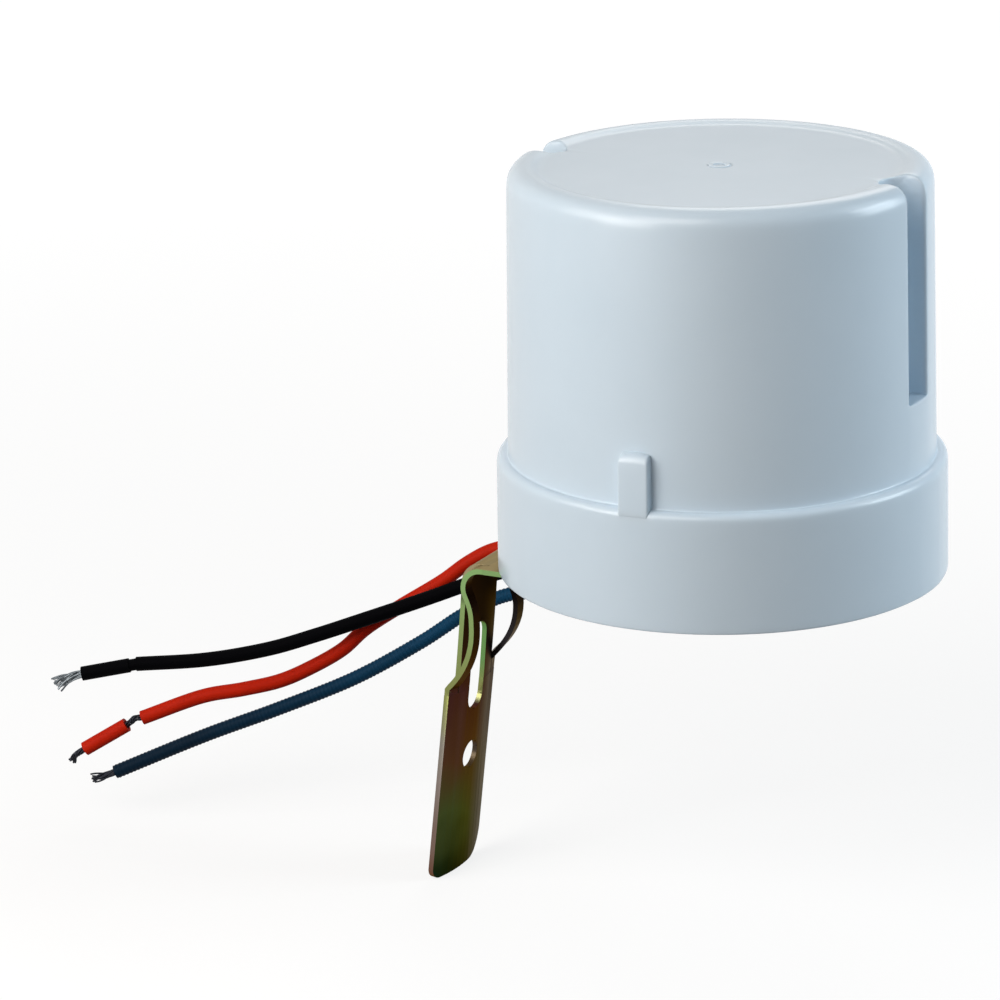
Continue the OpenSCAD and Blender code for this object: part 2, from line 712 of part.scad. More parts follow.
// A pair of straight wire legs, as far apart as given
module two_legs(apart, h) {
    for (s = [-1, 1]) translate([s * apart / 2, 0, 0]) cylinder(h = h, d = leg_d, $fn = 24);
}

// An axial component lying along X on two bent-down legs
module axial(d, l) {
    reach = l / 2 + leg_out;
    lift = d / 2 + leg_d / 2;
    translate([-l / 2, 0, lift]) rotate([0, 90, 0]) cylinder(h = l, d = d, $fn = 48);
    translate([-reach, 0, lift]) rotate([0, 90, 0]) cylinder(h = 2 * reach, d = leg_d, $fn = 24);
    two_legs(2 * reach, lift);
}

// A cadmium sulphide disc that looks up through the cover
module photocell() {
    color("#c9a24a") on_board([0, 0]) {
        two_legs(cell_d / 2, cell_up - cell_t);
        translate([0, 0, cell_up - cell_t]) intersection() {
            cylinder(h = cell_t, d = cell_d);
            translate([-cell_d, -cell_d * 0.42, 0]) cube([2 * cell_d, cell_d * 0.84, cell_t]);
        }
    }
}

module relay() {
    color("#2c5fa8") on_board(relay_place) translate([-relay_l / 2, -relay_side / 2, 0])
        cube([relay_l, relay_side, relay_side]);
}

module film_capacitor() {
    color("#b8402c") on_board(film_place) translate([-film_l / 2, -film_t / 2, 0])
        cube([film_l, film_t, film_h]);
}

// A can on its rubber bung, with the rolled groove near its foot
module electrolytic_capacitor() {
    groove = can_d / 20;
    groove_z = can_d / 4;
    r = can_d / 2;
    color("#2a2f55") on_board(can_place) rotate_extrude() polygon(concat(
        [[0, 0], [r, 0], [r, groove_z - groove], [r - groove, groove_z], [r, groove_z + groove]],
        arc([r - groove, can_h - groove], groove, 0, 90), [[0, can_h]]));
}

module varistor() {
    color("#2f6fb0") on_board(varistor_place, 90) {
        translate([0, varistor_t / 2, stand_off + varistor_d / 2]) rotate([90, 0, 0])
            cylinder(h = varistor_t, d = varistor_d);
        two_legs(varistor_d / 2, stand_off + varistor_d / 2);
    }
}

module rectifier_diodes() {
    pitch = diode_d + row_gap;
    color("#222222") for (i = [0:3]) on_board(diode_place + [0, i * pitch]) axial(diode_d, diode_l);
}

module zener_diode() {
    color("#c46a3a") on_board(zener_place) axial(zener_d, zener_l);
}

module resistors() {
    pitch = resistor_d + row_gap;
    color("#d9c08a") for (i = [0:2])
        on_board(resistor_place + [0, i * pitch]) axial(resistor_d, resistor_l);
}

// A small plastic package with one flat side on three legs
module transistor() {
    color("#202020") on_board(transistor_place) {
        for (i = [-1:1]) translate([i * transistor_pitch, 0, 0])
            cylinder(h = stand_off + transistor_d / 2, d = leg_d, $fn = 24);
        translate([0, 0, stand_off]) intersection() {
            cylinder(h = transistor_d, d = transistor_d);
            translate([-transistor_d, -transistor_d / 2, 0])
                cube([2 * transistor_d, transistor_d * 0.8, transistor_d]);
        }
    }
}

cover();
base_plate();
bracket();
bracket_screw();
spring_washer();
bracket_nut();
wire_bush();
lead_black();
lead_red();
lead_blue();
black_sleeve();
red_sleeve();
black_strands();
red_strands();
blue_strands();
circuit_board();
board_screws();
photocell();
relay();
film_capacitor();
electrolytic_capacitor();
varistor();
rectifier_diodes();
zener_diode();
resistors();
transistor();
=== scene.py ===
"""A day and night light switch: a light-grey moulded cover on a round base, a folded bracket of
yellow-zinc steel and three stripped leads. Metres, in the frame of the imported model."""
import math

import bmesh
import bpy
from mathutils import Matrix, Vector


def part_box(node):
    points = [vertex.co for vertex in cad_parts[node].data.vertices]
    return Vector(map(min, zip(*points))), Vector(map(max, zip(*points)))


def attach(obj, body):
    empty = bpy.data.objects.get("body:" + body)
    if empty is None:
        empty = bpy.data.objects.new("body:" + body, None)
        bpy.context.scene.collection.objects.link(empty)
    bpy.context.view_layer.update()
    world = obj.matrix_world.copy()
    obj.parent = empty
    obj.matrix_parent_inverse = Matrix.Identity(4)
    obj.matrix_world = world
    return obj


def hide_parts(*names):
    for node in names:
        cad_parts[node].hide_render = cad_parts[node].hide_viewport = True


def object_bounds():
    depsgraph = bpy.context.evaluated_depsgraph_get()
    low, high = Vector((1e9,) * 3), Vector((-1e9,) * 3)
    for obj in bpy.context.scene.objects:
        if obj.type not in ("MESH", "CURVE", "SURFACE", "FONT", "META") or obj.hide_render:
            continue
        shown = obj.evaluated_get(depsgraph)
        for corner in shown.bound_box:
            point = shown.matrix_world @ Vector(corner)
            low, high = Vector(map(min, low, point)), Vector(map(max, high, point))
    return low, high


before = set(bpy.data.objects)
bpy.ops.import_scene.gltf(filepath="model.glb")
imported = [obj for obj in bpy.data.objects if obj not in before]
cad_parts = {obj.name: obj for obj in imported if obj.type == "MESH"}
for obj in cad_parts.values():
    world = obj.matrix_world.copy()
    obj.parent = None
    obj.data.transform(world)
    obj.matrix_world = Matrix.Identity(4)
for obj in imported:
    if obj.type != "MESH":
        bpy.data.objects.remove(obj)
cad_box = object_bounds()


# Base plate. A round polypropylene moulding that closes the cover from below and carries the
# circuit board on three posts. It snaps into the skirt, and only its underside shows.
MM = 0.001
FLOW_MARK = 20 * MM    # clouds that the melt left as it filled the mould
TOOL_GRAIN = 0.4 * MM  # grain of the mould's steel, drawn coarser than it is so that it shows


def linear(hex_colour):
    """Linear RGBA of an sRGB hex colour."""
    parts = [int(hex_colour[i:i + 2], 16) / 255 for i in (1, 3, 5)]
    return [c / 12.92 if c <= 0.04045 else ((c + 0.055) / 1.055) ** 2.4 for c in parts] + [1.0]


def add(material, kind, settings={}, links={}):
    """Adds a node. Settings go to the inputs or properties that they name, a ramp's stops among
    them, and links go to the inputs that they name."""
    node = material.node_tree.nodes.new(kind)
    for name, value in settings.items():
        if name == "stops":
            while len(node.color_ramp.elements) < len(value):
                node.color_ramp.elements.new(1.0)
            for element, (place, hex_colour) in zip(node.color_ramp.elements, value):
                element.position = place
                element.color = linear(hex_colour)
        elif isinstance(name, int) or name in node.inputs:
            node.inputs[name].default_value = value
        else:
            setattr(node, name, value)
    for name, source in links.items():
        material.node_tree.links.new(source, node.inputs[name])
    return node


def start(name, settings):
    """A new material and its Principled shader with the settings that are the same all over."""
    material = bpy.data.materials.new(name)
    material.use_nodes = True
    shader = material.node_tree.nodes["Principled BSDF"]
    for socket, value in settings.items():
        shader.inputs[socket].default_value = value
    return material, shader


def join(material, source, target):
    """Links an output to an input of a node that is already there."""
    material.node_tree.links.new(source, target)


def clouded(name, pale, deep, size, settings, roughness):
    """A material of two close tones in clouds of one size, with a roughness that follows them."""
    material, shader = start(name, settings)
    place = add(material, "ShaderNodeTexCoord")
    cloud = add(material, "ShaderNodeTexNoise",
                {"Scale": 1 / size, "Detail": 3.0, "Roughness": 0.5},
                {"Vector": place.outputs["Object"]})
    tint = add(material, "ShaderNodeMix", {"data_type": "RGBA", 6: linear(deep), 7: linear(pale)},
               {0: cloud.outputs["Fac"]})
    gloss = add(material, "ShaderNodeMapRange", {"To Min": roughness[0], "To Max": roughness[1]},
                {"Value": cloud.outputs["Fac"]})
    join(material, tint.outputs[2], shader.inputs["Base Color"])
    join(material, gloss.outputs["Result"], shader.inputs["Roughness"])
    return material, shader, place


def moulded(name, pale, deep, translucency):
    """Polypropylene, injection moulded: satin and a little translucent, with cloudy flow marks and
    a fine grain from the mould."""
    polypropylene = {"IOR": 1.49, "Subsurface Weight": translucency,
                     "Subsurface Radius": (1.0, 1.0, 1.0), "Subsurface Scale": 1.2 * MM}
    material, shader, place = clouded(name, pale, deep, FLOW_MARK, polypropylene, (0.22, 0.28))
    grain = add(material, "ShaderNodeTexNoise", {"Scale": 1 / TOOL_GRAIN, "Detail": 2.0},
                {"Vector": place.outputs["Object"]})
    bump = add(material, "ShaderNodeBump", {"Strength": 0.06, "Distance": 0.02 * MM},
               {"Height": grain.outputs["Fac"]})
    join(material, bump.outputs["Normal"], shader.inputs["Normal"])
    return material


def round_edges(piece, width):
    """A fine rounding along the sharp edges of a piece."""
    bevel = piece.modifiers.new("edge rounding", "BEVEL")
    bevel.width = width
    bevel.segments = 2
    bevel.limit_method = "ANGLE"
    bevel.angle_limit = math.radians(35)
    bevel.harden_normals = True


def dress(node_name, material, edge):
    """Gives a CAD node its material and rounded edges."""
    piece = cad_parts[node_name]
    piece.data.materials.clear()
    piece.data.materials.append(material)
    round_edges(piece, edge)
    return piece


base_polypropylene = moulded("polypropylene_moulded_base", "#b9c3cb", "#aab5be", 0.1)
dress("base_plate", base_polypropylene, 0.2 * MM)


# Bush. A grommet of black rubber, moulded with a lip on each side of the base and a bore for each
# lead. It is pressed into the base and has the dull bloom of sulphur-cured rubber.
rubber = clouded("rubber_moulded_bush", "#3a3b3d", "#28292b", 3 * MM, {"IOR": 1.52}, (0.6, 0.75))[0]
dress("wire_bush", rubber, 0.3 * MM)


# Circuit. A board of brown paper laminate with a relay, capacitors, a varistor, diodes, resistors,
# a transistor and the cell that looks up through the cover. Three screws hold it on the posts.
# Resins and lacquers are glossy to satin, mottled where they ran. The board is duller.
RESIN = {"IOR": 1.55}
for node_name, look, pale, deep, size, gloss in (
        ("circuit_board", "paper_laminate_pressed", "#b98a4c", "#9c6f38", 4 * MM, (0.45, 0.6)),
        ("relay", "pbt_moulded_blue", "#2f5f9f", "#274f88", 8 * MM, (0.3, 0.4)),
        ("film_capacitor", "epoxy_cast_red_brown", "#b2482f", "#98381f", 5 * MM, (0.2, 0.3)),
        ("electrolytic_capacitor", "pvc_shrunk_sleeve", "#2a2f58", "#1d2142", 5 * MM, (0.3, 0.4)),
        ("varistor", "epoxy_dipped_blue", "#3474b4", "#28609c", 2 * MM, (0.35, 0.5)),
        ("rectifier_diodes", "epoxy_moulded_black", "#202022", "#151516", 1 * MM, (0.4, 0.55)),
        ("zener_diode", "glass_sealed_diode", "#c0703c", "#8f4c26", 1 * MM, (0.05, 0.12)),
        ("resistors", "lacquer_dipped_resistor", "#d2b681", "#bb9c66", 1.5 * MM, (0.3, 0.4)),
        ("transistor", "epoxy_moulded_case", "#262628", "#18181a", 1 * MM, (0.45, 0.6)),
        ("photocell", "cadmium_sulphide_coated", "#c98f3a", "#a3651f", 0.8 * MM, (0.25, 0.4))):
    dress(node_name, clouded(look, pale, deep, size, RESIN, gloss)[0], 0.1 * MM)


# Cover. One polypropylene cup with a stepped skirt, two upright channels and two ribs on the
# ledge. It is injection moulded through a gate in the middle of its top, with soft edges all round.
# Its lengths are in millimetres from its axis at its foot.
cover_low, cover_high = (Vector(corner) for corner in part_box("cover"))
axis_foot = Vector(((cover_low.x + cover_high.x) / 2, (cover_low.y + cover_high.y) / 2,
                    cover_low.z))
WALL = 2.0
LEDGE = 18.0            # height of the skirt's ledge
LEDGE_ROUND = 1.1       # radius of its rounded edge
SKIRT_R = 33.85         # radius of the skirt where that rounding starts
WALL_R = 32.15          # radius of the cup's outside at the ledge
DRAFT = 0.6             # how much less it is where the rim's rounding starts
RIM = 59.4              # height where that is
RIM_ROUND = 2.6         # radius of the rim's rounding
CEILING = 59.5
DISH = 61.5             # height of the top inside its rim
GATE_FLOOR = 61.38      # height of the moat and the middle of the ring that the gate left
CHANNEL_HALF = 3.3      # half the width of a channel
CHANNEL_MIDDLE = 28.85  # distance of its round back's centre from the axis
CHANNEL_FLOOR = 29.0
BACK_CLEAR = 0.2        # how far outside a channel's back a ring first crosses the channel
LIP = 0.9               # how far from an edge its rounding starts
LIP_PART = 0.7          # least part of the way to an edge that comes before its rounding
ARC_POINTS = 28         # points between the channels
BACK_POINTS = (0, 0.25, 0.5, 0.75, 1)  # parts of the way from a channel's back to its lip


def on_body(point):
    """A point given in millimetres from the cover's axis at its foot."""
    return axis_foot + Vector(point) * MM


def arc(middle_r, middle_z, radius, degrees):
    """Radii and heights on a rounded edge."""
    return [(middle_r + radius * math.cos(math.radians(t)),
             middle_z + radius * math.sin(math.radians(t))) for t in degrees]


def channel_plan(half, way):
    """Point of a channel's U-shaped plan, so far along it from the middle of its back."""
    bend = half * math.pi / 2
    if way < bend:
        return CHANNEL_MIDDLE - half * math.cos(way / half), half * math.sin(way / half)
    return CHANNEL_MIDDLE + way - bend, half


def channel_reach(half, radius):
    """How far along that plan a circle round the axis crosses it."""
    if radius > math.hypot(CHANNEL_MIDDLE, half):
        return half * math.pi / 2 + math.sqrt(radius ** 2 - half ** 2) - CHANNEL_MIDDLE
    cosine = (CHANNEL_MIDDLE ** 2 + half ** 2 - radius ** 2) / (2 * CHANNEL_MIDDLE * half)
    return half * math.acos(cosine)


def cover_ring(radius, height, half, cut, channel_height=None):
    """A ring of the cover. Its points run on the circle where cut is 0, and along the channels'
    walls, at a height of their own, where cut is 1."""
    lip_way = channel_reach(half, max(radius, CHANNEL_MIDDLE - half + BACK_CLEAR))
    support = max(lip_way - LIP, LIP_PART * lip_way)
    lip_x, lip_y = channel_plan(half, lip_way)
    lip_turn = math.atan2(lip_y, lip_x)
    channel = []
    for way in (support * part for part in BACK_POINTS):
        x, y = channel_plan(half, way)
        turn = lip_turn * way / lip_way
        x = cut * x + (1 - cut) * radius * math.cos(turn)
        y = cut * y + (1 - cut) * radius * math.sin(turn)
        channel.append((x, y, channel_height(math.hypot(x, y)) if channel_height else height))
    start_turn = lip_turn + LIP / radius if radius > 2 * LIP else lip_turn
    step = (math.pi - 2 * start_turn) / (ARC_POINTS - 1)
    turns = [lip_turn] + [start_turn + i * step for i in range(ARC_POINTS)] + [math.pi - lip_turn]
    half_ring = channel + [(radius * math.cos(t), radius * math.sin(t), height) for t in turns]
    half_ring += [(-x, y, z) for x, y, z in channel[:0:-1]]
    return half_ring + [(-x, -y, z) for x, y, z in half_ring]


def crossed(profile, radius):
    """Where a profile passes a radius: its place, counted in points, and its height."""
    for i, ((r0, z0), (r1, z1)) in enumerate(zip(profile, profile[1:])):
        if radius >= r1:
            part = (r0 - radius) / (r0 - r1)
            return i + part, z0 + (z1 - z0) * part
    return len(profile) - 1, profile[-1][1]


def wall_radius(height):
    """Radius of the cup's drafted outside."""
    return WALL_R - DRAFT * (height - LEDGE) / (RIM - LEDGE)


def bridge(faces, first, rows, size):
    """Adds the faces between closed rows of points, each of one size."""
    for i in range(rows - 1):
        for k in range(size):
            a, b = first + i * size + k, first + i * size + (k + 1) % size
            faces.append((a, b, b + size, a + size))


def piece_of(name, mesh, material):
    """A smooth-shaded piece that rides on the part's one body."""
    mesh.shade_smooth()
    mesh.materials.clear()
    mesh.materials.append(material)
    piece = bpy.data.objects.new(name, mesh)
    bpy.context.scene.collection.objects.link(piece)
    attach(piece, "root")
    return piece


# Inside, from the ceiling down past the channels' floors and the groove of the snap to the foot.
inner_half = CHANNEL_HALF + WALL
rings = [cover_ring(r, CEILING, inner_half, 0) for r in (1, 10, 20, 22.9)]
rings += [cover_ring(r, z, inner_half, 1) for r, z in (
    (27.9, CEILING), (29.2, 59), (29.5, 57.5), (29.7, 45), (29.9, 32), (29.95, 27.5), (29.96, 27))]
rings += [cover_ring(r, z, inner_half, 0) for r, z in (
    (29.97, 26.9), (30.05, 21), (30.14, 16.4), (30.2, 16), (31.6, 16), (31.99, 15.9), (31.99, 11.4),
    (32.5, 10.3), (32.5, 9.7), (31.99, 8.6), (31.99, 0.4), (32, 0))]
# Outside: the skirt, its rounded ledge and the wall up to the channels' floors.
skirt = [(32.4, 0), (33.6, 0), (34, 0), (33.995, 0.4), (33.92, 9), (33.86, 15.6)]
ledge = arc(SKIRT_R - LEDGE_ROUND, LEDGE - LEDGE_ROUND, LEDGE_ROUND, (0, 30, 60, 90))
ledge += [(32.5, LEDGE), (WALL_R, LEDGE), (32.14, 18.5)]
lower_wall = [(wall_radius(z), z) for z in (23, 28)]
rings += [cover_ring(r, z, CHANNEL_HALF, 0) for r, z in skirt + ledge + lower_wall]
# The channels' floors, which turn up into their walls over half a millimetre.
for height, channel_z, cut in (
        (28.5, 28.5, 0), (29, CHANNEL_FLOOR, 0), (29.15, CHANNEL_FLOOR, 0.12),
        (29.3, CHANNEL_FLOOR, 0.9), (29.45, CHANNEL_FLOOR, 1), (29.8, 29.8, 1), (36, 36, 1),
        (46, 46, 1)):
    rings.append(cover_ring(wall_radius(height), height, CHANNEL_HALF, cut,
                            lambda r, z=channel_z: z))
# The rounded rim and the shallow dish of the top. The channels' walls end at its surface.
top = [(wall_radius(57.5), 57.5)]
top += arc(WALL_R - DRAFT - RIM_ROUND, RIM, RIM_ROUND, (0, 22.5, 45, 67.5, 90))
top += [(28.55, 62), (27.9, 61.94), (27.35, 61.75), (26.8, 61.56), (26.15, DISH), (25.75, DISH),
        (24.9, DISH)]
for i, (radius, height) in enumerate(top[:-1]):
    def channel_edge(r, i=i):
        place, edge = crossed(top, r)
        return top[0][1] + (edge - top[0][1]) * min(1, i / place if place else 0)
    rings.append(cover_ring(radius, height, CHANNEL_HALF, 1, channel_edge))
# The flat of the dish, and in its middle the ring that the gate left, in a fine moat.
rings += [cover_ring(r, z, CHANNEL_HALF, 0) for r, z in (
    (24.9, DISH), (16, DISH), (7, DISH), (2.1, DISH), (1.9, DISH), (1.82, GATE_FLOOR),
    (1.68, GATE_FLOOR), (1.58, 61.56), (1.46, 61.62), (1.1, 61.62), (0.98, 61.56), (0.9, 61.4),
    (0.8, GATE_FLOOR), (0.4, GATE_FLOOR))]

count = len(rings[0])
verts = [on_body(point) for ring in rings for point in ring]
faces = []
bridge(faces, 0, len(rings), count)
for first, height in ((0, CEILING), (len(verts) - count, GATE_FLOOR)):
    faces += [(first + k, first + (k + 1) % count, len(verts)) for k in range(count)]
    verts.append(on_body((0, 0, height)))

# Ribs: a section in radius and height, drawn across the rib's width with an arched head.
RIB_HALF = 2.4   # half the width
RIB_TURN = 2.5   # degrees from half way between the channels
RIB_ARCH = 0.5   # drop of the head at the rib's sides
RIB_HEAD = 26.5  # height of the head
ARCH_FOOT = 24   # height from which the arch is drawn down
rib_section = [(30.9, 16.2), (33.1, 16.2), (33.58, 16.4), (33.76, 16.9), (33.79, 17.8),
               (33.79, 24.7), (33.66, 25.6), (33.25, 26.25), (32.65, RIB_HEAD), (32.1, RIB_HEAD),
               (30.9, RIB_HEAD), (30.9, 21)]
rib_columns = [RIB_HALF * part for part in (-1, -0.87, -0.4, 0.4, 0.87, 1)]
for turn in (math.radians(RIB_TURN), math.radians(RIB_TURN + 180)):
    first, size = len(verts), len(rib_section)
    for x in rib_columns:
        for r, z in rib_section:
            above = max(0, z - ARCH_FOOT) / (RIB_HEAD - ARCH_FOOT)
            out = math.sqrt(r * r - x * x)
            verts.append(on_body((x * math.cos(turn) + out * math.sin(turn),
                                  x * math.sin(turn) - out * math.cos(turn),
                                  z - RIB_ARCH * (x / RIB_HALF) ** 2 * above)))
    bridge(faces, first, len(rib_columns), size)
    faces += [tuple(range(first, first + size)), tuple(range(len(verts) - size, len(verts)))]

cover_polypropylene = moulded("polypropylene_moulded_cover", "#ccdbe7", "#c2d3e0", 0.15)
shell = bpy.data.meshes.new("cover_shell")
shell.from_pydata([tuple(v) for v in verts], [], faces)
form = bmesh.new()
form.from_mesh(shell)
bmesh.ops.recalc_face_normals(form, faces=form.faces)
form.to_mesh(shell)
form.free()
cover_shell = piece_of("cover_shell", shell, cover_polypropylene)
soft_edges = cover_shell.modifiers.new("soft edges", "SUBSURF")
soft_edges.levels = soft_edges.render_levels = 2
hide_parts("cover")


# Bracket. One strip of 0.8 mm steel, blanked, lanced and folded, then zinc plated and passivated
# in yellow chromate. Its tongue is clamped under the base by a screw, a spring washer and a nut.
# The plating has a satin metal's gloss under a film, coloured partly as painted shade and
# reflection.
PATCH = 9 * MM      # size of the soft patches in which the film dried
PATCH_SHIFT = 0.24  # how far they move its colours, as a part of the bracket's height
zinc_steel, shader = start("steel_zinc_plated_yellow_chromate",
                           {"Metallic": 1.0, "Specular Tint": linear("#c9bca8")})
place = add(zinc_steel, "ShaderNodeTexCoord").outputs
spot = add(zinc_steel, "ShaderNodeSeparateXYZ", {}, {0: place["Object"]}).outputs
facing = add(zinc_steel, "ShaderNodeSeparateXYZ", {}, {0: place["Normal"]}).outputs
off_middle = add(zinc_steel, "ShaderNodeMath", {"operation": "ABSOLUTE"}, {0: spot["Y"]})
sideways = add(zinc_steel, "ShaderNodeMath", {"operation": "ABSOLUTE"}, {0: facing["Y"]})
outward = add(zinc_steel, "ShaderNodeMath", {"operation": "SUBTRACT"},
              {0: facing["Z"], 1: facing["X"]})

# Parts of the sheet, each with the value at which it starts to fade in and that where it is full.
part = {}
for name, measure, begins, full in (
        ("rise", spot["Z"], -19 * MM, 33 * MM),                 # the leg, from its foot to the base
        ("above_hole", spot["Z"], 4 * MM, 6 * MM),
        ("lanced", spot["Z"], 10.5 * MM, 15 * MM),              # the slits and all above their foot
        ("below_bend", spot["Z"], 28 * MM, 26 * MM),
        ("near_base", spot["Z"], 27 * MM, 30 * MM),             # the bend and the tongue
        ("open_side", spot["Y"], -5 * MM, -5.2 * MM),           # the strip beside the open slit
        ("in_middle", off_middle.outputs[0], 3.4 * MM, 3 * MM),
        ("outline", off_middle.outputs[0], 6.4 * MM, 6.8 * MM),
        ("outer_side", outward.outputs[0], -0.5, -0.2),         # faces on the outside of the bend
        ("cut_face", sideways.outputs[0], 0.5, 0.8)):           # faces across the sheet
    part[name] = add(zinc_steel, "ShaderNodeMapRange", {"From Min": begins, "From Max": full},
                     {"Value": measure}).outputs["Result"]
for name, way, one, other in (
        ("tan_tongue", "MULTIPLY", "outer_side", "near_base"),
        ("slot", "MULTIPLY", "in_middle", "above_hole"),
        ("green_slot", "MULTIPLY", "in_middle", "lanced"),
        ("slit_height", "MULTIPLY", "lanced", "below_bend"),
        ("slit", "MULTIPLY", "open_side", "slit_height"),
        ("outline_or_slot", "MAXIMUM", "outline", "slot"),
        ("outline_slot_or_slit", "MAXIMUM", "outline_or_slot", "slit"),
        ("cut_edge", "MULTIPLY", "cut_face", "outline_slot_or_slit")):
    part[name] = add(zinc_steel, "ShaderNodeMath", {"operation": way},
                     {0: part[one], 1: part[other]}).outputs[0]
# The film is heavier on the faces, and their colour runs with height from green at the foot through
# brown to nearly black under the base: partly the chromate's own hues and partly painted reflection
# and painted shade, nearly black under the base where that shade is deepest. Cut edges have a thin
# and pale film.
patches = add(zinc_steel, "ShaderNodeTexNoise", {"Scale": 1 / PATCH, "Detail": 2.0},
              {"Vector": place["Object"]}).outputs["Fac"]
shift = add(zinc_steel, "ShaderNodeMath",
            {"operation": "MULTIPLY_ADD", 1: PATCH_SHIFT, 2: -PATCH_SHIFT / 2}, {0: patches})
height_with_patches = add(zinc_steel, "ShaderNodeMath", {"operation": "ADD"},
              {0: part["rise"], 1: shift.outputs[0]})
film = {}
for name, stops in (
        ("face_film_and_shade", ((0.0, "#0d2014"), (0.18, "#394426"), (0.4, "#482f22"), (0.55, "#3e221f"),
                   (0.8, "#1b1416"))),
        ("grey", ((0.1, "#1f2b2f"), (0.4, "#484a4c"), (0.55, "#46464a"), (0.85, "#261f1d"))),
        ("thin", ((0.0, "#6a4a3c"), (0.3, "#837770"), (0.44, "#807a70"), (0.56, "#7d804c"),
                  (1.0, "#7a9a62")))):
    film[name] = add(zinc_steel, "ShaderNodeValToRGB", {"stops": stops},
                     {"Fac": height_with_patches.outputs[0]}).outputs["Color"]
# Along one side of the leg the faces are greyer: a painted reflection. On the outside of the bend
# by the tongue, the faces that look up and out are tan: the chromate's colour, lightened there as a
# painted reflection. The slot's edge is green above its lower end.
painted_reflection_side = add(zinc_steel, "ShaderNodeMapRange",
                {"From Min": 1 * MM, "From Max": 5 * MM, "To Max": 0.85}, {"Value": spot["Y"]})
leg_tone = add(zinc_steel, "ShaderNodeMix", {"data_type": "RGBA"},
               {0: painted_reflection_side.outputs["Result"], 6: film["face_film_and_shade"], 7: film["grey"]})
sheet_tone = add(zinc_steel, "ShaderNodeMix", {"data_type": "RGBA", 7: linear("#8f8366")},
                 {0: part["tan_tongue"], 6: leg_tone.outputs[2]})
edge_tone = add(zinc_steel, "ShaderNodeMix", {"data_type": "RGBA", 7: linear("#628b50")},
                {0: part["green_slot"], 6: film["thin"]})
tone = add(zinc_steel, "ShaderNodeMix", {"data_type": "RGBA"},
           {0: part["cut_edge"], 6: sheet_tone.outputs[2], 7: edge_tone.outputs[2]})
# The plating blurs reflections unevenly.
satin = add(zinc_steel, "ShaderNodeMapRange", {"To Min": 0.28, "To Max": 0.45}, {"Value": patches})
join(zinc_steel, tone.outputs[2], shader.inputs["Base Color"])
join(zinc_steel, satin.outputs["Result"], shader.inputs["Roughness"])

# The CAD facets of the bowed leg and of the bends, welded and shaded as the smooth sheet they are.
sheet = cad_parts["bracket"].data.copy()
form = bmesh.new()
form.from_mesh(sheet)
bmesh.ops.remove_doubles(form, verts=form.verts, dist=0.0005 * MM)
form.to_mesh(sheet)
form.free()
folded_bracket = piece_of("folded_bracket", sheet, zinc_steel)
sheet.set_sharp_from_angle(angle=math.radians(30))
round_edges(folded_bracket, 0.08 * MM)
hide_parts("bracket")

# Zinc plate without colour: pale grey, dulled in small patches.
plated = clouded("steel_zinc_plated_clear", "#c6c6be", "#a3a39a", 1.5 * MM, {"Metallic": 1.0},
                 (0.25, 0.45))[0]
for node_name in ("bracket_screw", "spring_washer", "bracket_nut", "board_screws"):
    dress(node_name, plated, 0.08 * MM)


# Leads. Three lengths of stranded copper wire in extruded PVC. They leave the base through the bush
# and stay as they were bent. The blue one has fine ribs across it, left by the extruder's puller.
LEAD_D = 2.3 * MM
LEAD_SIDES = 20
PLAIN_STEP = 0.6 * MM     # distance between the rings of a lead without ribs
PULLER_PITCH = 0.65 * MM  # distance between the blue lead's ribs
PULLER_DEPTH = 0.1 * MM
RINGS_IN_RIB = 5
ROUTE_SIDE = Vector((0.42, -0.91, 0))  # square to the upright plane that the leads run along


def smooth(points, step):
    """Points about a step apart on a smooth curve through the given ones."""
    knots = [2 * points[0] - points[1]] + points + [2 * points[-1] - points[-2]]
    path = [points[0]]
    for a, b, c, d in zip(knots, knots[1:], knots[2:], knots[3:]):
        count = max(1, round((c - b).length / step))
        for t in (i / count for i in range(1, count + 1)):
            path.append(0.5 * (2 * b + (c - a) * t + (2 * a - 5 * b + 4 * c - d) * t ** 2
                               + (3 * b - a - 3 * c + d) * t ** 3))
    return path


def across(path, i):
    """Two directions square to a path at one of its points: in the leads' plane, and out of it."""
    ahead = (path[min(i + 1, len(path) - 1)] - path[max(i - 1, 0)]).normalized()
    upward = ahead.cross(ROUTE_SIDE).normalized()
    return upward, upward.cross(ahead)


def sweep(verts, faces, path, radii, sides):
    """Adds a round tube along a path, closed at both ends, with a radius for each point."""
    first = len(verts)
    for i, (point, radius) in enumerate(zip(path, radii)):
        upward, outward = across(path, i)
        for k in range(sides):
            turn = 2 * math.pi * k / sides
            verts.append(point + radius * (math.cos(turn) * upward + math.sin(turn) * outward))
    bridge(faces, first, len(path), sides)
    faces.append(tuple(range(first + sides - 1, first - 1, -1)))
    faces.append(tuple(range(len(verts) - sides, len(verts))))


def drawn(name, verts, faces, material):
    """A piece made of swept tubes, with sharp rims at their cut ends."""
    mesh = bpy.data.meshes.new(name)
    mesh.from_pydata([tuple(v) for v in verts], [], faces)
    piece = piece_of(name, mesh, material)
    mesh.set_sharp_from_angle(angle=math.radians(40))
    return piece


# Soft PVC: nearly matt, with a slightly uneven colour along the wire. The black one is the dullest.
PVC_CLOUD = 12 * MM
PVC = {"IOR": 1.53, "Specular IOR Level": 0.06}
DULL_PVC = {"IOR": 1.53, "Specular IOR Level": 0.02}
black_pvc = clouded("pvc_extruded_black", "#030305", "#010102", PVC_CLOUD, DULL_PVC, (0.6, 0.75))[0]
red_pvc = clouded("pvc_extruded_red", "#cc2608", "#a41a08", PVC_CLOUD, PVC, (0.5, 0.65))[0]
blue_pvc, shader, place = clouded("pvc_extruded_blue", "#104464", "#082a42", PVC_CLOUD, PVC,
                                  (0.45, 0.6))
